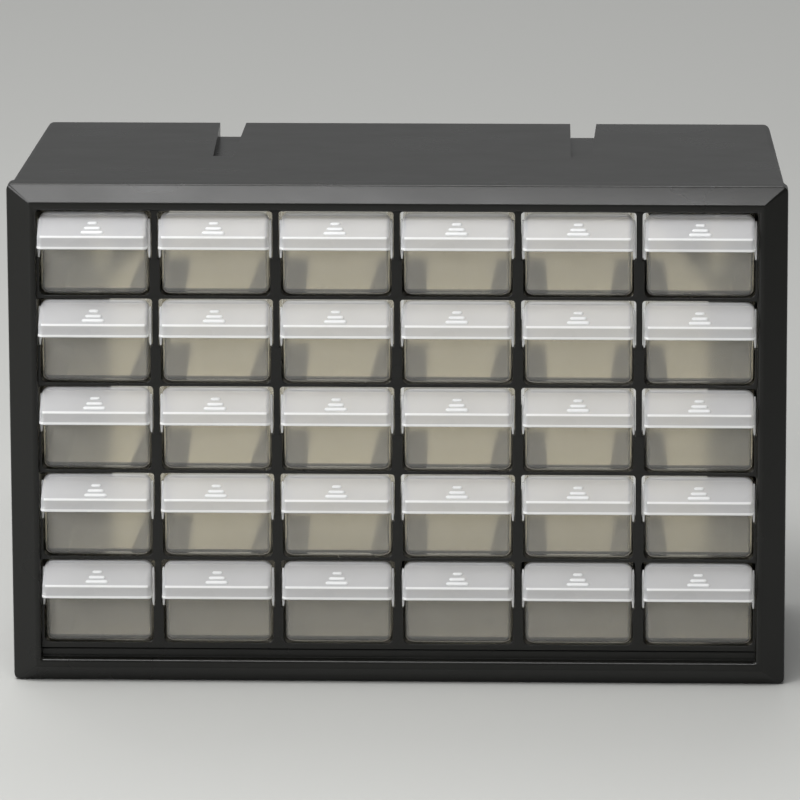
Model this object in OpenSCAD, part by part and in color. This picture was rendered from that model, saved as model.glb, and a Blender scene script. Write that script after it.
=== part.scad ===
// Small-parts cabinet with thirty pull-out drawers.
// +X is the cabinet's right, +Y its back, +Z up. The origin is on the table,
// under the middle of the cabinet, counting the depth of the drawer handles.

/* [Cabinet] */
// Width across the front bezel
cabinet_w = 380; // [356:4:440]
// Height of the cabinet
cabinet_h = 250; // [235:5:300]
// Depth from the bezel's face to the back
cabinet_d = 162; // [150:2:200]
// How far each side leans in from front to back
side_draft = 6; // [0:0.5:8]
// Wall thickness of the shell
shell_wall = 2.4; // [2:0.1:3]
// How far the bezel's band stands proud of the shell
band_step = 1.2; // [0.8:0.1:2]
// Radius of the shell's long top edges
edge_r = 3.5; // [2:0.5:5]

/* [Bezel] */
// Width of the chamfer along the sides
chamfer_side = 11; // [8:0.5:11]
// Height of the chamfer along the top and the bottom
chamfer_top = 8; // [6:0.5:9]
// Depth of the chamfer
chamfer_d = 6.2; // [4:0.2:9]
// Flat face left inside the chamfer
face_w = 4; // [3:0.5:4]
// Depth of the bezel's band
band_d = 16; // [14:1:20]
// How far the grid sits back from the bezel's face
recess = 5; // [4:0.5:6]
// Height of the sill under the bottom row
sill_h = 4.2; // [3:0.2:5]

/* [Drawers] */
// Thickness of a drawer's side walls
drawer_wall = 1.3; // [1:0.1:1.6]
// Thickness of a drawer's floor
drawer_floor = 1.4; // [1.2:0.1:2]
// Radius of a drawer's long bottom edges
drawer_r = 4; // [3:0.5:5]
// How far the handle stands out from the drawer's front wall
handle_out = 15.4; // [12:0.2:16]
// Height of the handle from its lip to the drawer's rim
handle_h = 15.6; // [14:0.2:16]
// Thickness of the handle's skin
handle_skin = 1.5; // [1.2:0.1:2]

/* [Back] */
// Radius of the round part of each keyhole
keyhole_r = 6.2; // [5.8:0.1:7]
// Width of the keyhole's slots
keyhole_slot = 4.4; // [4:0.1:4.4]
// How far each slot reaches from the keyhole's middle
keyhole_reach = 16; // [12:1:18]
// Depth of the two channels in the top
channel_deep = 7.2; // [5:0.2:7.4]
// Length of the two channels in the top
channel_l = 84; // [50:2:90]

/* [Hidden] */
$fn = 48;
cols = 6;
rows = 5;
plastic = [0.07, 0.07, 0.075];
frosted = [0.84, 0.85, 0.84, 0.6];

// cell lines run through the middle of the grid's bars
side_margin = 13;
top_margin = 12.25;
bottom_margin = 18.75;
pitch_x = (cabinet_w - 2 * side_margin) / cols;
pitch_z = (cabinet_h - top_margin - bottom_margin) / rows;
bar_t = 1.6;
post_w = 3;
post_back_w = 4.2;
post_foot_w = 5.2;
grid_d = 6;
grid_side = cabinet_w / 2 - 6.2;
grid_top_gap = 7;
lap = grid_d / 2;

// one drawer, measured from the middle of its front wall's foot
drawer_w = pitch_x - 6;
drawer_h = pitch_z - 2.8;
drawer_l = cabinet_d - 22;
drawer_setback = recess + 1.5;
drawer_rise = 1.2;
ear_foot = drawer_h * 0.45;
ear_w = pitch_x - post_w - 0.6;
ear_h = drawer_h - ear_foot - 3.4;
foot_h = drawer_rise - bar_t / 2 + ear_foot - 0.3;
handle_w = drawer_w + 1;
handle_r = 3.5;
rim_out = 1.6;
rim_h = 1.3;
ridge_drop = 9.2;
lug_w = 24;
lug_h = 1.8;

// runners
ledge_t = 1.6;
ledge_gap = 0.2;
ledge_l = 80;
ledge_side = grid_side - 3;
ledge_half_front = 14.2;
ledge_half_back = 12;
web_t = 2.4;
web_h = 13;

// shell
proud = handle_out - drawer_setback;
face_y = proud / 2 - cabinet_d / 2;
back_y = face_y + cabinet_d;
shell_y = face_y + band_d;
shell_half = cabinet_w / 2 - band_step;
shell_top = cabinet_h - band_step / 2;
draft_angle = atan(side_draft / (cabinet_d - band_d));
tongue_l = band_d - recess - grid_d;
tongue_edge = 6;
tongue_t = 2;
open_half = cabinet_w / 2 - chamfer_side - face_w + 0.6;
open_low = chamfer_top + face_w + 0.2;
open_high = cabinet_h - open_low;
outer_r = 3.5;
past = 30;

// back
window_half = cabinet_w / 2 - 37.6;
window_low = 25;
window_high = cabinet_h * 0.82;
window_r = 6;
gusset_w = 32;
gusset_z = window_high - 38;
keyhole_x = cabinet_w / 2 - 33.8;
keyhole_z = cabinet_h * 0.748;
channel_x = 88.6;
channel_back_w = 13.2;
channel_front_w = 10;
eps = 0.01;

// row 1 is the top row, as seen from the front
function line_x(i) = (i - cols / 2) * pitch_x;
function line_z(k) = bottom_margin + k * pitch_z;
function column_x(c) = line_x(c - 0.5);
function row_z(r) = line_z(rows - r) + drawer_rise;

// a profile drawn in x and z, run from y0 to y1
module along_y(y0, y1) {
    translate([0, y1, 0])
        rotate([90, 0, 0])
            linear_extrude(y1 - y0)
                children();
}

// a profile drawn in y and z, run from -half to half
module along_x(half) {
    rotate([90, 0, 90])
        translate([0, 0, -half])
            linear_extrude(2 * half)
                children();
}

// a rectangle standing on z = low, with all four corners round
module round_rect(half, low, high, r) {
    translate([-half + r, low])
        square([2 * (half - r), high - low]);
    translate([-half, low + r])
        square([2 * half, high - low - 2 * r]);
    for (x = [-half + r, half - r])
        for (z = [low + r, high - r])
            translate([x, z])
                circle(r);
}

// one leaning half of the shell's outside: a tall wide profile with one round top edge
module leaning_half(half, top, r) {
    w = 2 * half + 2 * past;
    translate([-half, shell_y, 0])
        rotate([0, 0, -draft_angle])
            along_y(-past, cabinet_d + past) {
                square([w, top - r]);
                translate([r, 0])
                    square([w, top]);
                translate([r, top - r])
                    circle(r);
            }
}

module shell_outside() {
    intersection() {
        leaning_half(shell_half, shell_top, edge_r);
        mirror([1, 0, 0])
            leaning_half(shell_half, shell_top, edge_r);
        translate([-cabinet_w, shell_y, 0])
            cube([2 * cabinet_w, back_y - shell_y, cabinet_h]);
    }
}

// the space between the shell's four walls, which lean in with its outside
module shell_inside() {
    front = shell_half - shell_wall;
    back = front - side_draft;
    translate([0, 0, shell_wall])
        linear_extrude(shell_top - 2 * shell_wall)
            polygon([
                [-front, shell_y - eps],
                [front, shell_y - eps],
                [back, back_y + eps],
                [-back, back_y + eps]
            ]);
}

// the ring that plugs into the back of the bezel, and the shell's rim behind it
module shell_tongue() {
    hole_half = grid_side + 1 - tongue_t;
    hole_edge = tongue_edge + tongue_t;
    difference() {
        union() {
            along_y(shell_y - tongue_l, shell_y + shell_wall)
                round_rect(grid_side + 1, tongue_edge, cabinet_h - tongue_edge, 2);
            along_y(shell_y, shell_y + shell_wall)
                round_rect(shell_half - 1, 1, shell_top - 1, 2);
        }
        along_y(shell_y - tongue_l - 1, shell_y + shell_wall + 1)
            round_rect(hole_half, hole_edge, cabinet_h - hole_edge, 2);
    }
}

module channel(grow) {
    linear_extrude(channel_deep + grow + 1)
        polygon([
            [-channel_front_w / 2 - grow, back_y - channel_l - grow],
            [channel_front_w / 2 + grow, back_y - channel_l - grow],
            [channel_back_w / 2 + grow, back_y + (grow > 0 ? -eps : 1)],
            [-channel_back_w / 2 - grow, back_y + (grow > 0 ? -eps : 1)]
        ]);
}

// the trough below each channel, inside the shell
module channel_troughs() {
    floor_t = 2;
    intersection() {
        shell_outside();
        for (x = [-channel_x, channel_x])
            translate([x, 0, shell_top - channel_deep - floor_t])
                channel(floor_t);
    }
}

module channel_cuts() {
    for (x = [-channel_x, channel_x])
        translate([x, 0, shell_top - channel_deep])
            channel(0);
}

module outer_shell() {
    color(plastic)
        difference() {
            union() {
                difference() {
                    shell_outside();
                    shell_inside();
                }
                shell_tongue();
                channel_troughs();
            }
            channel_cuts();
        }
}

// a plate across the back of the shell, between its walls, from z = low to high
module back_plate(low, high) {
    intersection() {
        shell_inside();
        translate([-cabinet_w / 2, back_y - shell_wall, low])
            cube([cabinet_w, shell_wall, high - low]);
    }
}

// the open middle of the back below its gussets
module back_window() {
    along_y(back_y - shell_wall - 1, back_y + 1) {
        translate([-window_half, window_low + window_r])
            square([2 * window_half, gusset_z - window_low - window_r + 1]);
        translate([-window_half + window_r, window_low])
            square([2 * (window_half - window_r), window_r + 1]);
        for (x = [-window_half + window_r, window_half - window_r])
            translate([x, window_low + window_r])
                circle(window_r);
    }
}

// the back's lower strip, its two sides up to the gussets, and its upper strip
module back_panel() {
    color(plastic)
        difference() {
            union() {
                difference() {
                    back_plate(shell_wall, gusset_z);
                    back_window();
                }
                back_plate(window_high, shell_top - shell_wall);
            }
            channel_troughs();
            channel_cuts();
        }
}

module keyhole() {
    slot_reach = keyhole_reach - keyhole_slot / 2;
    translate([keyhole_x, back_y + 1, keyhole_z])
        rotate([90, 0, 0]) {
            cylinder(r = keyhole_r, h = shell_wall + 2);
            for (z = [-slot_reach, slot_reach])
                translate([0, z, 0])
                    cylinder(d = keyhole_slot, h = shell_wall + 2);
            translate([-keyhole_slot / 2, -slot_reach, 0])
                cube([keyhole_slot, 2 * slot_reach, shell_wall + 2]);
        }
}

// a corner gusset of the back, with its keyhole; the left one is its mirror image
module gusset(side) {
    color(plastic)
        mirror([side == "left" ? 1 : 0, 0, 0])
            difference() {
                intersection() {
                    back_plate(gusset_z, window_high);
                    along_y(back_y - shell_wall - 1, back_y + 1)
                        polygon([
                            [window_half, gusset_z],
                            [cabinet_w, gusset_z],
                            [cabinet_w, window_high],
                            [window_half - gusset_w, window_high]
                        ]);
                }
                keyhole();
            }
}

module bezel_outside() {
    half = cabinet_w / 2;
    intersection() {
        translate([0, face_y, 0])
            linear_extrude(cabinet_h)
                polygon([
                    [-half + chamfer_side, 0],
                    [half - chamfer_side, 0],
                    [half, chamfer_d],
                    [half, band_d],
                    [-half, band_d],
                    [-half, chamfer_d]
                ]);
        translate([0, face_y, 0])
            along_x(half)
                polygon([
                    [0, chamfer_top],
                    [chamfer_d, 0],
                    [band_d, 0],
                    [band_d, cabinet_h],
                    [chamfer_d, cabinet_h],
                    [0, cabinet_h - chamfer_top]
                ]);
        along_y(face_y, face_y + band_d)
            round_rect(half, 0, cabinet_h, outer_r);
    }
}

module front_bezel() {
    pocket_half = grid_side + 0.2;
    sill = open_low + sill_h;
    color(plastic)
        difference() {
            bezel_outside();
            translate([-open_half, face_y - 1, open_low])
                cube([2 * open_half, recess + 2, open_high - open_low]);
            translate([-pocket_half, face_y + recess, sill])
                cube([2 * pocket_half, band_d, cabinet_h - grid_top_gap - sill]);
            along_y(face_y + recess + grid_d, face_y + band_d + 1)
                round_rect(grid_side + 1.2, tongue_edge - 0.2, cabinet_h - tongue_edge + 0.2, 2);
        }
}

// the upright bars, from the left side (1) to the right side (cols + 1); their
// feet are broad, and the back half of the rest is a stop for the drawers' ears
module divider(i) {
    x = line_x(i - 1);
    y = face_y + recess;
    low = line_z(0) + bar_t / 2;
    high = line_z(rows) - bar_t / 2;
    color(plastic)
        difference() {
            union() {
                translate([x, y, low])
                    post(i, post_w, grid_d, high - low);
                translate([x, y + lap, low])
                    post(i, post_back_w, lap, high - low);
                for (r = [1:rows])
                    translate([x, y, line_z(rows - r) + bar_t / 2])
                        post(i, post_foot_w, grid_d, foot_h);
            }
            for (k = [1:rows - 1])
                translate([x, y + lap, line_z(k) - bar_t / 2])
                    post(i, 2 * post_foot_w, lap + 1, bar_t);
        }
}

// a length of upright bar; the two outermost run on to the side of the bezel
module post(i, w, d, h) {
    outer = grid_side - line_x(cols);
    left = i == 1 ? outer : w / 2;
    right = i == cols + 1 ? outer : w / 2;
    translate([-left, 0, 0])
        cube([left + right, d, h]);
}

// the level bars, from the bottom (1) to the top (rows + 1)
module shelf_bar(i) {
    y = face_y + recess;
    sill = open_low + sill_h + 0.2;
    low = i == 1 ? sill : line_z(i - 1) - bar_t / 2;
    high = i == rows + 1 ? cabinet_h - grid_top_gap - 0.2 : line_z(i - 1) + bar_t / 2;
    color(plastic)
        difference() {
            translate([-grid_side, y, low])
                cube([2 * grid_side, grid_d, high - low]);
            if (i > 1 && i < rows + 1)
                for (k = [0:cols])
                    translate([line_x(k), y - 1, low - 1])
                        post(k + 1, post_w, lap + 1, bar_t + 2);
        }
}

// the flat ledges that one row of drawers slides on
module ledges_row(r) {
    y = face_y + recess + grid_d;
    z = row_z(r) - ledge_gap - ledge_t;
    edge = ledge_side - line_x(cols);
    color(plastic)
        for (k = [0:cols])
            translate([line_x(k), y, z])
                linear_extrude(ledge_t)
                    polygon([
                        [k == 0 ? -edge : -ledge_half_front, 0],
                        [k == cols ? edge : ledge_half_front, 0],
                        [k == cols ? edge : ledge_half_back, ledge_l],
                        [k == 0 ? -edge : -ledge_half_back, ledge_l]
                    ]);
}

// the low webs that keep neighbouring drawers apart
module guide_webs_row(r) {
    y = face_y + recess + grid_d;
    color(plastic)
        for (k = [0:cols])
            translate([line_x(k) - web_t / 2, y, row_z(r) - ledge_gap])
                cube([web_t, ledge_l, web_h]);
}

// the drawer's section, with round bottom edges
module tub_section(half, low, high, r) {
    translate([-half + r, low])
        square([2 * (half - r), high - low]);
    translate([-half, low + r])
        square([2 * half, high - low - r]);
    for (x = [-half + r, half - r])
        translate([x, low + r])
            circle(r);
}

// the handle seen from the side: rim, sloping top, ridge and lip
module hood_section() {
    ridge = drawer_h - ridge_drop;
    foot = drawer_h - handle_h;
    polygon([
        [drawer_wall, drawer_h],
        [-rim_out, drawer_h],
        [-rim_out, drawer_h - rim_h],
        [-handle_out * 0.55, (drawer_h + ridge) / 2 + 0.6],
        [-handle_out + 0.4, ridge],
        [-handle_out, foot],
        [drawer_wall, foot]
    ]);
}

// the finger space under the hood
module hood_hollow() {
    drop = handle_skin * 1.15;
    ridge = drawer_h - ridge_drop;
    foot = drawer_h - handle_h - 1;
    polygon([
        [drawer_wall, drawer_h - rim_h - drop],
        [-rim_out + 0.3, drawer_h - rim_h - drop],
        [-handle_out * 0.55, (drawer_h + ridge) / 2 + 0.6 - drop],
        [-handle_out + handle_skin, ridge - handle_skin / 2],
        [-handle_out + handle_skin, foot],
        [drawer_wall, foot]
    ]);
}

module handle() {
    difference() {
        intersection() {
            along_x(handle_w / 2)
                hood_section();
            along_y(-handle_out - 1, 1)
                round_rect(handle_w / 2, drawer_h - handle_h - 10, drawer_h, handle_r);
        }
        along_x(handle_w / 2 - handle_skin)
            hood_hollow();
    }
}

module drawer() {
    half = drawer_w / 2;
    color(frosted) {
        difference() {
            union() {
                along_y(0, drawer_l)
                    tub_section(half, 0, drawer_h, drawer_r);
                translate([-ear_w / 2, 0, ear_foot])
                    cube([ear_w, drawer_wall, ear_h]);
                translate([-lug_w / 2, drawer_l - drawer_wall, drawer_h - eps])
                    cube([lug_w, drawer_wall, lug_h + eps]);
            }
            along_y(drawer_wall, drawer_l - drawer_wall)
                tub_section(half - drawer_wall, drawer_floor, drawer_h + 5, drawer_r - drawer_wall);
        }
        handle();
    }
}

module drawer_at(r, c) {
    translate([column_x(c), face_y + drawer_setback, row_z(r)])
        drawer();
}

outer_shell();
back_panel();
gusset("left");  // gusset_left
gusset("right");  // gusset_right
front_bezel();
for (i = [1:cols + 1])
    divider(i);
for (i = [1:rows + 1])
    shelf_bar(i);
for (r = [1:rows])
    ledges_row(r);
for (r = [1:rows])
    guide_webs_row(r);
for (r = [1:rows])
    for (c = [1:cols])
        drawer_at(r, c);
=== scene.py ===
import math

import bmesh
import bpy
from mathutils import Matrix, Vector


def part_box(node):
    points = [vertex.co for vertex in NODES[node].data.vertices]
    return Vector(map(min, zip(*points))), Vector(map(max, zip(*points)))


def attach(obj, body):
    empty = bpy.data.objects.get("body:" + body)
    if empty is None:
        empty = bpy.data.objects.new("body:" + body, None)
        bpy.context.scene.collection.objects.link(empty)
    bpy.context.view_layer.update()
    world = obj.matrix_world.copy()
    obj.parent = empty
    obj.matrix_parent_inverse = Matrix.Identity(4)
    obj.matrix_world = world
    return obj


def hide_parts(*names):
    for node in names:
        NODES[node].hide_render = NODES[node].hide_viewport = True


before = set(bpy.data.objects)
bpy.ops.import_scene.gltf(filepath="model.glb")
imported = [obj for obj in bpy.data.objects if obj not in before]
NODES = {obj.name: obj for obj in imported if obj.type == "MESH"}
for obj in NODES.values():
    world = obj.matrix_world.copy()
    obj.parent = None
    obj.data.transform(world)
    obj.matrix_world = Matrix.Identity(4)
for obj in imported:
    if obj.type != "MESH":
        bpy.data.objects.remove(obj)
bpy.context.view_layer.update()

MM = 0.001
ROWS, COLS = 5, 6
CABINET = "cabinet"


# ---------------------------------------------------------------- places from the frame, in mm

def grid_lines(prefix, count, axis):
    """The lines between the cells: the inner bars' middles, and one pitch more at each end."""
    mids = []
    for i in range(2, count + 1):
        lo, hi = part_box(f"{prefix}_{i}")
        mids.append((lo[axis] + hi[axis]) / 2 / MM)
    pitch = mids[1] - mids[0]
    return [mids[0] - pitch, *mids, mids[-1] + pitch]


bezel_lo, bezel_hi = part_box("front_bezel")
bar_lo, bar_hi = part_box("shelf_bar_2")
FACE_Y = bezel_lo.y / MM
HALF_W = bezel_hi.x / MM
HEIGHT = bezel_hi.z / MM
LINE_X = grid_lines("divider", COLS, 0)
LINE_Z = grid_lines("shelf_bar", ROWS, 2)
PITCH_X = LINE_X[2] - LINE_X[1]
GRID_Y = bar_lo.y / MM
GRID_D = (bar_hi.y - bar_lo.y) / MM
GRID_HALF = bar_hi.x / MM
GRID_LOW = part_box("shelf_bar_1")[0].z / MM
GRID_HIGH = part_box(f"shelf_bar_{ROWS + 1}")[1].z / MM
SHELL_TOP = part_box("outer_shell")[1].z / MM


# ---------------------------------------------------------------- outlines, in mm

def arc(cx, cy, r, a0, a1, n):
    """Points of an arc from angle a0 to angle a1, in degrees, in n steps."""
    angles = [math.radians(a0 + (a1 - a0) * k / n) for k in range(n + 1)]
    return [(cx + r * math.cos(t), cy + r * math.sin(t)) for t in angles]


def round_rect(x0, x1, y0, y1, r, n=6):
    """Points of a rounded rectangle, anticlockwise from the corner at x1, y1, n steps to a corner."""
    middles = ((x1 - r, y1 - r), (x0 + r, y1 - r), (x0 + r, y0 + r), (x1 - r, y0 + r))
    out = []
    for quarter, (cx, cy) in enumerate(middles):
        out += arc(cx, cy, r, 90 * quarter, 90 * quarter + 90, n)
    return out


def round_off(r, d):
    """How far an edge of radius r has turned in at distance d from its end."""
    return r - math.sqrt(max(0.0, r * r - (r - d) ** 2)) if d < r else 0.0


# ---------------------------------------------------------------- mesh helpers

# from how many degrees on an edge is a hard one
BEZEL_SHARP, PLATE_SHARP, DRAWER_SHARP = 30, 38, 42


def finish_mesh(name, bm, mats, body, sharp):
    """A smooth-shaded object from bm, with hard edges where faces turn by more than sharp degrees."""
    bmesh.ops.recalc_face_normals(bm, faces=bm.faces)
    for f in bm.faces:
        f.smooth = True
    for e in bm.edges:
        e.smooth = not (len(e.link_faces) == 2 and e.calc_face_angle(0.0) > math.radians(sharp))
    me = bpy.data.meshes.new(name)
    bm.to_mesh(me)
    bm.free()
    ob = bpy.data.objects.new(name, me)
    bpy.context.collection.objects.link(ob)
    for m in mats:
        me.materials.append(m)
    if body:
        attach(ob, body)
    return ob


def weighted(ob):
    """Shading normals that follow the large faces, so that narrow rounds stay crisp."""
    m = ob.modifiers.new("normals", "WEIGHTED_NORMAL")
    m.keep_sharp = True
    m.weight = 60
    return ob


def strip(bm, a, b, closed=True, mat=0):
    """Faces between two rows of vertices of equal length."""
    n = len(a)
    for k in range(n if closed else n - 1):
        j = (k + 1) % n
        f = bm.faces.new((a[k], a[j], b[j], b[k]))
        f.material_index = mat


def loft(bm, rings, closed=True, mat=0):
    """Strips between rings of equal length, each a list of 3-D points in mm. Returns the vertices."""
    rows = [[bm.verts.new(Vector(p) * MM) for p in ring] for ring in rings]
    for a, b in zip(rows, rows[1:]):
        strip(bm, a, b, closed, mat)
    return rows


def cap(bm, row, mat=0):
    """One flat face over a row of vertices."""
    f = bm.faces.new(row)
    f.material_index = mat


def plate(name, outline, holes, y0, y1, bevel, steps):
    """A black plate in the x-z plane from y0 to y1 with holes and rounded edges, from a 2-D curve."""
    cu = bpy.data.curves.new(name + "_c", "CURVE")
    cu.dimensions = "2D"
    cu.fill_mode = "BOTH"
    for pts in (outline, *holes):
        sp = cu.splines.new("POLY")
        sp.points.add(len(pts) - 1)
        for p, (x, z) in zip(sp.points, pts):
            p.co = (x * MM, z * MM, 0, 1)
        sp.use_cyclic_u = True
    cu.extrude = ((y1 - y0) / 2 - bevel) * MM
    cu.bevel_depth = bevel * MM
    cu.bevel_resolution = steps
    cu.offset = -bevel * MM
    tmp = bpy.data.objects.new(name + "_t", cu)
    bpy.context.collection.objects.link(tmp)
    bpy.context.view_layer.update()
    me = bpy.data.meshes.new_from_object(tmp.evaluated_get(bpy.context.evaluated_depsgraph_get()))
    bpy.data.objects.remove(tmp)
    bpy.data.curves.remove(cu)
    me.transform(Matrix.Translation((0, (y0 + y1) / 2 * MM, 0)) @ Matrix.Rotation(math.pi / 2, 4, "X"))
    bm = bmesh.new()
    bm.from_mesh(me)
    bpy.data.meshes.remove(me)
    bmesh.ops.remove_doubles(bm, verts=bm.verts, dist=1e-6)
    return weighted(finish_mesh(name, bm, [black], CABINET, PLATE_SHARP))


# ---------------------------------------------------------------- materials

def new_material(name):
    """An empty node material, with short ways to add a node and a link to it."""
    mat = bpy.data.materials.new(name)
    mat.use_nodes = True
    tree = mat.node_tree
    tree.nodes.clear()

    def add(kind, values=None):
        n = tree.nodes.new("ShaderNode" + kind)
        for socket, value in (values or {}).items():
            n.inputs[socket].default_value = value
        return n

    return mat, add, tree.links.new


def set_ramp(ramp, *stops):
    """Gives a colour ramp its two stops, each a position and a colour."""
    for element, (position, colour) in zip(ramp.color_ramp.elements, stops):
        element.position = position
        element.color = (*colour, 1)


def grain(add, link, place, shader, scale, strength, depth):
    """The fine grain of a moulded surface, as bump."""
    fine = add("TexNoise", {"Scale": scale, "Detail": 2})
    link(place, fine.inputs["Vector"])
    bump = add("Bump", {"Strength": strength, "Distance": depth})
    link(fine.outputs[0], bump.inputs["Height"])
    link(bump.outputs[0], shader.inputs["Normal"])


def black_plastic(name, base, rough):
    """Moulded black plastic: a fine grain, slow changes in tone and gloss, and faint flow marks."""
    swing = 0.06
    mat, add, link = new_material(name)
    shader = add("BsdfPrincipled", {"IOR": 1.44})
    link(shader.outputs[0], add("OutputMaterial").inputs[0])
    place = add("TexCoord").outputs["Object"]
    slow = add("TexNoise", {"Scale": 9, "Detail": 3})
    link(place, slow.inputs["Vector"])
    stretch = add("Mapping", {"Scale": (1, 1.6, 1.6)})
    link(place, stretch.inputs["Vector"])
    flow = add("TexNoise", {"Scale": 26, "Detail": 2})
    link(stretch.outputs[0], flow.inputs["Vector"])
    both = add("Math")
    both.operation = "ADD"
    link(slow.outputs[0], both.inputs[0])
    link(flow.outputs[0], both.inputs[1])
    gloss = add("MapRange", {"From Min": 0.6, "From Max": 1.4})
    gloss.inputs["To Min"].default_value = rough - swing
    gloss.inputs["To Max"].default_value = rough + swing
    link(both.outputs[0], gloss.inputs["Value"])
    link(gloss.outputs[0], shader.inputs["Roughness"])
    tone = add("ValToRGB")
    set_ramp(tone, (0.25, [c * 0.8 for c in base]), (0.75, [c * 1.25 for c in base]))
    link(slow.outputs[0], tone.inputs[0])
    link(tone.outputs[0], shader.inputs["Base Color"])
    grain(add, link, place, shader, 900, 0.35, 0.00008)
    return mat


def clear_share(add, link, tint, blur):
    """Tints what is behind it, and with blur also blurs it. Shadow rays go straight through."""
    clear = add("BsdfTransparent", {"Color": (*tint, 1)})
    if not blur:
        return clear
    bend = add("BsdfRefraction", {"Color": (*tint, 1), "Roughness": blur, "IOR": 1.45})
    see = add("MixShader")
    link(add("LightPath").outputs["Is Shadow Ray"], see.inputs[0])
    link(bend.outputs[0], see.inputs[1])
    link(clear.outputs[0], see.inputs[2])
    return see


def frosted_plastic(name, white, tint, solid, glow, rough, blur=0.0):
    """Translucent polypropylene. The share solid of it is milky, and glow is the part of that share
    that lets light through. The rest is clear. Both shares, and the gloss, change a little from
    place to place."""
    mat, add, link = new_material(name)
    place = add("TexCoord").outputs["Object"]
    cloud = add("TexNoise", {"Scale": 45, "Detail": 0})
    link(place, cloud.inputs["Vector"])
    tone = add("ValToRGB")
    set_ramp(tone, (0.0, [c * 0.96 for c in white]), (1.0, white))
    link(cloud.outputs[0], tone.inputs[0])
    surface = add("BsdfPrincipled", {"IOR": 1.49})
    link(tone.outputs[0], surface.inputs["Base Color"])
    gloss = add("MapRange", {"To Min": rough - 0.06, "To Max": rough + 0.06})
    link(cloud.outputs[0], gloss.inputs["Value"])
    link(gloss.outputs[0], surface.inputs["Roughness"])
    grain(add, link, place, surface, 700, 0.2, 0.00005)
    through = add("BsdfTranslucent")
    link(tone.outputs[0], through.inputs["Color"])
    milk = add("MixShader", {"Fac": glow})
    link(surface.outputs[0], milk.inputs[1])
    link(through.outputs[0], milk.inputs[2])
    share = add("MapRange", {"To Min": solid * 0.95, "To Max": solid * 1.05})
    link(cloud.outputs[0], share.inputs["Value"])
    mix = add("MixShader")
    link(share.outputs[0], mix.inputs[0])
    link(clear_share(add, link, tint, blur).outputs[0], mix.inputs[1])
    link(milk.outputs[0], mix.inputs[2])
    link(mix.outputs[0], add("OutputMaterial").inputs[0])
    return mat


black = black_plastic("black_moulding", (0.0038, 0.0038, 0.003), 0.3)
inner_black = black_plastic("black_inside", (0.006, 0.006, 0.006), 0.5)
tub_front = frosted_plastic(
    "frosted_front", (0.92, 0.92, 0.91), (0.985, 0.95, 0.84), solid=0.25, glow=0.4, rough=0.36, blur=0.2)
tub_clear = frosted_plastic(
    "frosted_tub", (0.90, 0.90, 0.89), (0.985, 0.97, 0.93), solid=0.19, glow=0.5, rough=0.32)
# a dark copy of the plastic for the front wall's foot: painted shade of the drawer's bottom corner
tub_foot_shade = frosted_plastic(
    "frosted_foot_shade", (0.28, 0.28, 0.275), (0.97, 0.96, 0.93), solid=0.5, glow=0.3, rough=0.36, blur=0.2)
hood_milky = frosted_plastic(
    "frosted_hood", (0.93, 0.935, 0.97), (0.98, 0.98, 0.98), solid=0.55, glow=0.4, rough=0.3)
# a whiter, nearly opaque copy of the drawer plastic: painted highlight on the ridge, the lip's foot and
# the grips, painted light on the ears, and on the lip partly the whiter look of thick plastic
highlight_white = frosted_plastic(
    "frosted_highlight", (0.90, 0.905, 0.91), (0.98, 0.98, 0.97), solid=0.93, glow=0.3, rough=0.26)
DRAWER_MATERIALS = [tub_clear, hood_milky, highlight_white, tub_front, tub_foot_shade]
TUB, HOOD, HIGHLIGHT, FRONT, FOOT_SHADE = range(5)


# ---------------------------------------------------------------- cabinet

OPEN_X, OPEN_Z = 14.4, 12.2   # the opening's inset from the bezel's outside
OPEN_ROUND = 1.6              # the round along the opening's front edge
BAND_D = 16.0                 # the depth of the bezel's band
BAND_X, BAND_Z = 4.8, 5.6     # the band's thickness at the sides, and above and below
REBATE = 11.0                 # the depth of the step inside, which the shell's tongue meets


def bezel_profile():
    """The frame's section, from the opening round the face and the chamfer to the band's inside. Each
    point has its inset from the outside in x and in z, its depth and the radius of its corners."""
    prof = [(OPEN_X, OPEN_Z, REBATE, 1.2), (OPEN_X, OPEN_Z, 6.0, 1.2)]
    for k in range(5):
        t = math.pi / 2 * k / 4
        turn = OPEN_ROUND * (1 - math.cos(t))
        prof.append((OPEN_X - turn, OPEN_Z - turn, OPEN_ROUND * (1 - math.sin(t)), 1.2 + 0.1 * k))
    # the end of the flat face, turning softly into the chamfer
    prof += [(11.9, 8.8, 0.0, 0.5), (11.35, 8.25, 0.08, 0.5), (10.75, 7.75, 0.32, 0.5)]
    # the foot of the chamfer, turning into the band
    prof += [(0.85, 0.62, 5.72, 1.6), (0.3, 0.28, 6.15, 2.2), (0.0, 0.0, 6.9, 3.2)]
    # the round back edge of the band, and its inside
    prof += [(0.0, 0.0, BAND_D - 0.8, 3.2), (0.18, 0.18, BAND_D - 0.25, 3.2), (0.7, 0.7, BAND_D, 3.0)]
    prof += [(BAND_X, BAND_Z, BAND_D, 2.0), (BAND_X, BAND_Z, REBATE, 2.0)]
    return prof


def cabinet_bezel():
    """The mitred frame: a ring for each point of the profile, joined into a closed tube."""
    mid = HEIGHT / 2
    rings = []
    for in_x, in_z, depth, r in bezel_profile():
        pts = round_rect(-HALF_W + in_x, HALF_W - in_x, -mid + in_z, mid - in_z, r)
        rings.append([(x, FACE_Y + depth, mid + z) for x, z in pts])
    bm = bmesh.new()
    rows = loft(bm, rings)
    strip(bm, rows[-1], rows[0])
    ob = weighted(finish_mesh("bezel_frame", bm, [black], CABINET, BEZEL_SHARP))
    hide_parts("front_bezel")
    return ob


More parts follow.
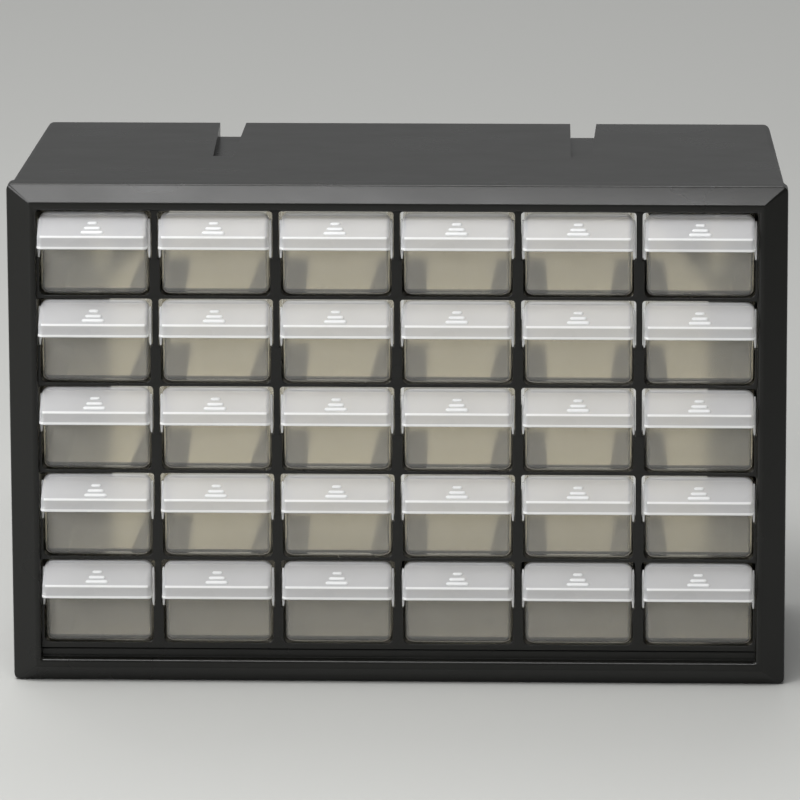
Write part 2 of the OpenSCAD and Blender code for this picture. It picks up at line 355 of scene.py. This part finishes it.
def t_hole(col, row):
    """A drawer's T-shaped opening in the grid: broad above, narrower between the bars' feet."""
    bar_half, post_half, foot_half, foot_h = 0.8, 1.5, 2.6, 18.5
    r_low, r_high, r_foot = 3.2, 1.6, 0.5
    cx = (LINE_X[col] + LINE_X[col + 1]) / 2
    low = LINE_Z[row] + bar_half
    high = LINE_Z[row + 1] - bar_half
    foot = low + foot_h
    wide = PITCH_X / 2 - post_half
    slim = PITCH_X / 2 - foot_half
    pts = arc(cx - slim + r_low, low + r_low, r_low, 180, 270, 5)
    pts += arc(cx + slim - r_low, low + r_low, r_low, 270, 360, 5)
    pts += arc(cx + slim + r_foot, foot - r_foot, r_foot, 180, 90, 3)
    pts += arc(cx + wide - r_foot, foot + r_foot, r_foot, -90, 0, 3)
    pts += arc(cx + wide - r_high, high - r_high, r_high, 0, 90, 5)
    pts += arc(cx - wide + r_high, high - r_high, r_high, 90, 180, 5)
    pts += arc(cx - wide + r_foot, foot + r_foot, r_foot, 180, 270, 3)
    pts += arc(cx - slim - r_foot, foot - r_foot, r_foot, 90, 0, 3)
    return pts


def cabinet_grid():
    """The upright and level bars: one plate with the drawers' openings."""
    outline = round_rect(-GRID_HALF, GRID_HALF, GRID_LOW, GRID_HIGH, 0.6, 3)
    holes = [t_hole(c, r) for c in range(COLS) for r in range(ROWS)]
    ob = plate("front_grid", outline, holes, GRID_Y, GRID_Y + GRID_D, 0.35, 2)
    posts = [f"divider_{i}" for i in range(1, COLS + 2)]
    bars = [f"shelf_bar_{i}" for i in range(1, ROWS + 2)]
    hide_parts(*posts, *bars)
    return ob


def cabinet_sill():
    """The low step along the foot of the opening, with a round upper edge: (depth, z)."""
    step, top, back, foot = 6.0, 16.3, 8.4, OPEN_Z - 1.0
    section = [(step - 0.45, foot), (step - 0.1, OPEN_Z + 0.2), (step, OPEN_Z + 0.5), (step, top - 0.7)]
    section += [(step + 0.2, top - 0.2), (step + 0.7, top), (back, top), (back, foot)]
    half = HALF_W - 13.6
    bm = bmesh.new()
    rows = loft(bm, [[(x, FACE_Y + d, z) for d, z in section] for x in (-half, half)])
    cap(bm, rows[0])
    cap(bm, rows[1])
    return weighted(finish_mesh("sill_flange", bm, [black], CABINET, BEZEL_SHARP))


def back_window(gusset_x, gusset_z, high):
    """The open window in the back: round corners below, cut off by the gussets above."""
    side, low, r = HALF_W - 37.6, 25.0, 6.0
    pts = arc(-side + r, low + r, r, 180, 270, 6) + arc(side - r, low + r, r, 270, 360, 6)
    return pts + [(side, gusset_z), (gusset_x, high), (-gusset_x, high), (-side, gusset_z)]


def keyhole(x, z):
    """A round hole with a slot above it and one below."""
    r, slot_half, reach = 6.2, 2.2, 16.0
    a = math.degrees(math.asin(slot_half / r))
    pts = []
    for side, turn in ((1, 0), (-1, 180)):
        pts += arc(x, z, r, turn - 90 + a, turn + 90 - a, 12)
        pts += arc(x, z + side * (reach - slot_half), slot_half, turn, turn + 180, 8)
    return pts


def cabinet_back():
    """The back: one plate with the window, the gussets, two keyholes and the ends of the channels."""
    channel_x, channel_half, channel_deep = 88.6, 8.6, 9.2
    key_x, key_z = HALF_W - 33.8, HEIGHT * 0.748
    lo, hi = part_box("back_panel")
    g_lo, g_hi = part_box("gusset_right")
    side, low, high = hi.x / MM, lo.z / MM, hi.z / MM
    floor = SHELL_TOP - channel_deep
    outline = [(-side, low), (side, low), (side, high)]
    for cx in (channel_x, -channel_x):
        right, left = cx + channel_half, cx - channel_half
        outline += [(right, high), (right, floor), (left, floor), (left, high)]
    outline.append((-side, high))
    window = back_window(g_lo.x / MM, g_lo.z / MM, g_hi.z / MM)
    holes = [window, keyhole(-key_x, key_z), keyhole(key_x, key_z)]
    ob = plate("back_plate", outline, holes, lo.y / MM, hi.y / MM, 0.25, 1)
    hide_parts("back_panel", "gusset_left", "gusset_right")
    return ob


def dress(node, mat):
    """The CAD node stays as it is, with its own material."""
    ob = NODES[node]
    for s in ob.material_slots:
        s.material = mat
    if not ob.material_slots:
        ob.data.materials.append(mat)
    return ob


def soften(ob, width):
    """Slightly rounded edges."""
    m = ob.modifiers.new("edges", "BEVEL")
    m.width = width * MM
    m.segments = 2
    m.limit_method = "ANGLE"
    m.angle_limit = math.radians(40)
    m.harden_normals = True


for ob in (cabinet_bezel(), cabinet_grid(), cabinet_sill(), cabinet_back()):
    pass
soften(dress("outer_shell", black), 0.45)
for r in range(1, ROWS + 1):
    dress(f"ledges_row_{r}", inner_black)
    dress(f"guide_webs_row_{r}", inner_black)


# ---------------------------------------------------------------- drawers

# One drawer, in mm: x from its middle, y from its front wall's face to the back, z from its foot.
TUB_HALF = 26.5    # half the tub's width
DRAWER_H = 41.0    # the rim's height
DRAWER_L = 140.0   # the tub's length
WALL, FLOOR = 1.3, 1.4
TUB_R = 4.0        # the round of the long bottom edges
TUB_DRAFT = 0.3    # how much each side leans in at the foot
RIM_H = 1.3        # how far the hood's rim stands above the tub
HOOD_HALF = 27.0   # half the hood's width
HOOD_OUT = 15.4    # how far the hood stands out to the front
SKIN = 1.5         # the hood's thickness
LIP = 25.4         # the height of the lip's lower edge
RIDGE = 31.8       # the height of the ridge between the lip and the slope


def rounded_front(ring, top, r=3.5, depth=7.0):
    """The ring with a point more on each side, and lowered at the front wall's two top corners."""
    half = len(ring) // 2
    z = ring[0][2]
    ring = ring[:half] + [(ring[half][0], depth, z)] + ring[half:] + [(ring[0][0], depth, z)]
    out = []
    for x, y, z in ring:
        if y < depth - 1:
            z = min(z, top - round_off(r, TUB_HALF - abs(x)))
        out.append((x, y, z))
    return out


def tub_rings(top):
    """The tub's rings: up the outside, over the rim, and down the inside to the floor."""
    corner, inner_corner = 2.0, 1.2
    foot_r, inner_foot_r = 1.6, 1.0
    rings = []

    def ring(z, half, inset, r):
        outline = round_rect(-half, half, inset, DRAWER_L - inset, r, 5)
        rings.append([(x, y, z) for x, y in outline])

    for k in range(8):
        t = math.pi / 2 * k / 7
        z = TUB_R * (1 - math.cos(t))
        ring(z, TUB_HALF - TUB_DRAFT - TUB_R * (1 - math.sin(t)), round_off(foot_r, z), corner)
    for drop, turn in ((0.35, 0.0), (0.1, 0.1), (0.0, 0.35)):
        ring(top - drop, TUB_HALF - turn, turn, corner - turn)
    inner, r = TUB_HALF - WALL, TUB_R - WALL
    for drop, bead in ((0.0, 0.35), (0.1, 0.1), (0.35, 0.0)):
        ring(top - drop, inner - bead, WALL + bead, inner_corner - bead)
    for k in range(6, -1, -1):
        t = math.pi / 2 * k / 6
        z = r * (1 - math.cos(t))
        half = inner - TUB_DRAFT - r * (1 - math.sin(t))
        ring(FLOOR + z, half, WALL + round_off(inner_foot_r, z), inner_corner)
    return rings


def tub_part(bm):
    """The drawer's box. Its front wall has a plastic of its own, and a dark copy of it along the foot
    paints the shade of the bottom corner.
    """
    top = DRAWER_H - RIM_H
    front_y, front_half, foot_shade_z = 2.2, TUB_HALF - 0.7, 2.9
    rows = loft(bm, [rounded_front(ring, top) for ring in tub_rings(top)], mat=TUB)
    cap(bm, list(reversed(rows[0])), TUB)
    cap(bm, rows[-1], TUB)
    for f in bm.faces:
        c = f.calc_center_median() / MM
        # painted shade: faces low on the front wall get the dark copy of the plastic
        if c.y < front_y and abs(c.x) < front_half:
            f.material_index = FOOT_SHADE if c.z < foot_shade_z else FRONT


def slab(bm, xs, ys, zs, r, mat):
    """A small bar between two values of x, y and z, with rounded edges."""
    cy, cz = sum(ys) / 2, sum(zs) / 2
    section = round_rect(*ys, *zs, r, 3)
    rings = []
    for x, size in ((xs[0], 0.7), (xs[0] + r, 1.0), (xs[1] - r, 1.0), (xs[1], 0.7)):
        rings.append([(x, cy + (y - cy) * size, cz + (z - cz) * size) for y, z in section])
    rows = loft(bm, rings, mat=mat)
    cap(bm, list(reversed(rows[0])), mat)
    cap(bm, rows[-1], mat)


def hood_profile():
    """The hood seen from the side, from the lip's foot up to the rim: (y, z, half width)."""
    lip_y = -HOOD_OUT
    # each point: y, z, and how much narrower the hood is there; first the lip
    pts = [(lip_y + 0.35, LIP, 0.05), (lip_y, LIP + 0.3, 0.0), (lip_y, LIP + 1.0, 0.0)]
    # the upright band above the lip
    pts += [(lip_y + 0.28, LIP + 1.35, 0.15), (lip_y + 0.3, LIP + 3.2, 0.2)]
    pts.append((lip_y + 0.22, RIDGE - 1.3, 0.25))
    # the ridge
    pts += [(lip_y + 0.1, RIDGE - 0.7, 0.25), (lip_y + 0.22, RIDGE - 0.15, 0.28)]
    pts.append((lip_y + 0.75, RIDGE + 0.3, 0.3))
    # the slope, a curve from start to end that leans towards bend
    start, bend, end = (lip_y + 1.3, RIDGE + 0.5), (lip_y + 7.5, RIDGE + 6.2), (-2.3, DRAWER_H - 1.75)
    for k in range(1, 12):
        t = k / 12
        y, z = (a * (1 - t) ** 2 + 2 * b * t * (1 - t) + c * t ** 2 for a, b, c in zip(start, bend, end))
        pts.append((y, z, 0.35 + 0.35 * t))
    # the rim
    pts += [(-2.05, DRAWER_H - 1.6, 0.75), (-1.75, DRAWER_H - 1.5, 0.8), (-1.6, DRAWER_H - 1.2, 0.8)]
    pts += [(-1.6, DRAWER_H - 0.3, 0.85), (-1.35, DRAWER_H, 1.0)]
    return [(y, z, HOOD_HALF - slim - round_off(3.5, DRAWER_H - z)) for y, z, slim in pts]


def u_ring(y, z, w, r):
    """An open outline round the hood's front: back left, corner, front, corner, back right."""
    back = 1.0
    r = min(r, back - y - 0.2)
    pts = [(-w, back), *arc(-w + r, y + r, r, 180, 270, 7)]
    pts += [(f * (w - r), y) for f in (-0.6, -0.3, 0.0, 0.3, 0.6)]
    pts += [*arc(w - r, y + r, r, 270, 360, 7), (w, back)]
    return [(px, py, z) for px, py in pts]


def hood_part(bm):
    """The hollow handle: an outer skin, an inner skin and the strip that joins them at the foot. The
    strip, the lip and the ridge get the whiter plastic: a painted highlight, on the lip and strip partly
    also the whiter look of thick plastic."""
    corner, rim_corner, inner_corner = 2.6, 2.0, 1.3
    roof = 1.15
    outer = []
    inner = []
    for y, z, w in hood_profile():
        outer.append(u_ring(y, z, w, corner if z < DRAWER_H - 4 else rim_corner))
        inside = z if z < RIDGE - 1 else z - roof
        inner.append(u_ring(min(y + SKIN, 0.2), min(inside, DRAWER_H - SKIN), w - SKIN, inner_corner))
    start = len(bm.faces)
    outer_rows = loft(bm, outer, closed=False, mat=HOOD)
    inner_rows = loft(bm, [list(reversed(ring)) for ring in inner], closed=False, mat=TUB)
    strip(bm, list(reversed(inner_rows[0])), outer_rows[0], closed=False, mat=HIGHLIGHT)
    cap(bm, list(reversed(outer_rows[-1])), HOOD)
    bm.faces.ensure_lookup_table()
    for f in bm.faces[start:]:
        c = f.calc_center_median() / MM
        # painted highlight: faces at the lip's foot and along the ridge get the whiter plastic
        lip = c.z < LIP + 1.2
        ridge = RIDGE - 0.75 < c.z < RIDGE + 0.5 and abs(c.x) < 25
        if f.material_index == HOOD and (lip or ridge):
            f.material_index = HIGHLIGHT


def slope_point(s):
    """The point of the hood's slope at length s from the ridge: y, z and the slope's angle there."""
    slope = [(y, z) for y, z, w in hood_profile() if RIDGE - 0.2 < z < DRAWER_H - 1.8]
    run = 0.0
    for (y0, z0), (y1, z1) in zip(slope, slope[1:]):
        d = math.hypot(y1 - y0, z1 - z0)
        if run + d >= s:
            f = (s - run) / d
            return y0 + (y1 - y0) * f, z0 + (z1 - z0) * f, math.atan2(z1 - z0, y1 - y0)
        run += d


def grips(bm):
    """Three raised bars on the hood's slope, the widest next to the ridge. They get the whiter plastic,
    a painted highlight on their tops.
    """
    broad, high, lift = 0.95, 0.55, 0.1
    for s, half in ((2.8, 5.5), (5.5, 4.0), (9.0, 2.4)):
        y, z, a = slope_point(s)
        section = []
        for k in range(12):
            t = 2 * math.pi * k / 12
            u, v = broad * math.cos(t), high * math.sin(t)
            section.append((u * math.cos(a) - v * math.sin(a), u * math.sin(a) + v * math.cos(a)))
        left = [(-half, 0.25), (-half + 0.35, 0.8), (-half + 0.9, 1.0)]
        ends = left + [(-x, size) for x, size in reversed(left)]
        rings = [[(x, y + dy * size, z + dz * size + lift) for dy, dz in section] for x, size in ends]
        rows = loft(bm, rings, mat=HIGHLIGHT)
        cap(bm, list(reversed(rows[0])), HIGHLIGHT)
        cap(bm, rows[-1], HIGHLIGHT)


def drawer_mesh():
    """The one mesh that all drawers share: the tub, two ears, the stop lug, the hood and its grips."""
    ear_in, ear_out = 26.3, 27.7
    ear_y, ear_z = (-1.0, WALL), (18.45, 37.6)
    lug_x, lug_y, lug_z = (-12, 12), (DRAWER_L - WALL, DRAWER_L), (DRAWER_H - 2, DRAWER_H + 1.8)
    bm = bmesh.new()
    tub_part(bm)
    # the ears get the whiter plastic: painted light for the bright strips beside the hood, where light
    # from the back comes through
    slab(bm, (-ear_out, -ear_in), ear_y, ear_z, 0.35, HIGHLIGHT)
    slab(bm, (ear_in, ear_out), ear_y, ear_z, 0.35, HIGHLIGHT)
    slab(bm, lug_x, lug_y, lug_z, 0.4, TUB)
    hood_part(bm)
    grips(bm)
    master = weighted(finish_mesh("drawer_master", bm, DRAWER_MATERIALS, None, DRAWER_SHARP))
    bpy.context.view_layer.update()
    me = bpy.data.meshes.new_from_object(master.evaluated_get(bpy.context.evaluated_depsgraph_get()))
    me.name = "drawer_body"
    bpy.data.objects.remove(master)
    return me


drawer_data = drawer_mesh()
DRAWER_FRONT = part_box("drawer_r1_c1")[0].y / MM + HOOD_OUT
for r in range(1, ROWS + 1):
    for c in range(1, COLS + 1):
        node = f"drawer_r{r}_c{c}"
        lo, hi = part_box(node)
        ob = bpy.data.objects.new(f"tray_r{r}_c{c}", drawer_data)
        bpy.context.collection.objects.link(ob)
        ob.location = ((lo.x + hi.x) / 2, DRAWER_FRONT * MM, lo.z)
        bpy.context.view_layer.update()
        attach(ob, node)
        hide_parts(node)


# ---------------------------------------------------------------- stage, lights, camera

def studio_floor():
    """A large pale matt disc, a little below the cabinet's foot."""
    me = bpy.data.meshes.new("floor")
    bm = bmesh.new()
    bmesh.ops.create_circle(bm, cap_ends=True, radius=14, segments=96)
    bm.to_mesh(me)
    bm.free()
    floor = bpy.data.objects.new("floor", me)
    bpy.context.collection.objects.link(floor)
    floor.location = (0, 0, -0.0002)
    mat, add, link = new_material("pale_floor")
    pale = (0.46, 0.462, 0.447, 1)
    shader = add("BsdfPrincipled", {"Base Color": pale, "Roughness": 0.7, "Specular IOR Level": 0.2})
    link(shader.outputs[0], add("OutputMaterial").inputs[0])
    me.materials.append(mat)


def soft_box(name, place, target, size, power):
    """A rectangular area light at place that faces target, in metres and watts."""
    li = bpy.data.lights.new(name, "AREA")
    li.shape = "RECTANGLE"
    li.size, li.size_y = size
    li.energy = power
    ob = bpy.data.objects.new(name, li)
    bpy.context.collection.objects.link(ob)
    ob.location = place
    ob.rotation_euler = (Vector(target) - Vector(place)).to_track_quat("-Z", "Y").to_euler()


def studio_world():
    """A soft pale room, brighter behind the object than in front of it."""
    world = bpy.data.worlds.new("studio")
    bpy.context.scene.world = world
    world.use_nodes = True
    nodes, links = world.node_tree.nodes, world.node_tree.links
    place = nodes.new("ShaderNodeTexCoord")
    parts = nodes.new("ShaderNodeSeparateXYZ")
    links.new(place.outputs["Generated"], parts.inputs[0])
    light = nodes.new("ShaderNodeMapRange")
    light.inputs["From Min"].default_value = -0.6
    light.inputs["From Max"].default_value = 0.8
    light.inputs["To Min"].default_value = 0.17
    light.inputs["To Max"].default_value = 0.30
    links.new(parts.outputs["Y"], light.inputs["Value"])
    links.new(light.outputs[0], nodes["Background"].inputs["Strength"])
    nodes["Background"].inputs["Color"].default_value = (0.97, 0.98, 0.98, 1)


def photo_camera():
    """The photograph's view. The angles, the distance in mm and the lens come from a perspective fit
    of the cabinet's edges and its drawer grid."""
    az, el, roll = math.radians(2.2), math.radians(13.487), math.radians(-0.2257)
    distance, shift_x, shift_y = 3551.0, 1.4718, 19.7102
    aim = Vector((0, FACE_Y, 124))
    data = bpy.data.cameras.new("camera")
    data.sensor_width = 36
    data.lens = 327.15
    data.clip_start, data.clip_end = 0.05, 60
    ahead = Vector((-math.sin(az) * math.cos(el), math.cos(az) * math.cos(el), -math.sin(el)))
    level = Vector((math.cos(az), math.sin(az), 0))
    upright = level.cross(ahead)
    right = math.cos(roll) * level + math.sin(roll) * upright
    up = -math.sin(roll) * level + math.cos(roll) * upright
    eye = aim - ahead * distance + right * shift_x + up * shift_y
    columns = Matrix((right, up, -ahead)).transposed().to_4x4()
    cam = bpy.data.objects.new("camera", data)
    bpy.context.collection.objects.link(cam)
    cam.matrix_world = Matrix.Translation(eye * MM) @ columns
    bpy.context.scene.camera = cam


studio_floor()
soft_box("front_box", (-2.05, -2.25, 1.25), (0, 0, 0.1), (1.3, 1.0), 50)
soft_box("strip_box", (-0.42, -0.86, 1.75), (0, -0.07, 0.2), (2.1, 0.42), 28)
soft_box("top_box", (-0.6, 0.0, 1.8), (0, 0.0, 0.1), (1.4, 0.7), 10)
soft_box("back_box", (-0.3, 2.1, 2.9), (0.0, 1.7, 0.0), (2.4, 1.4), 42)
studio_world()
photo_camera()
bpy.context.scene.view_settings.view_transform = "Standard"
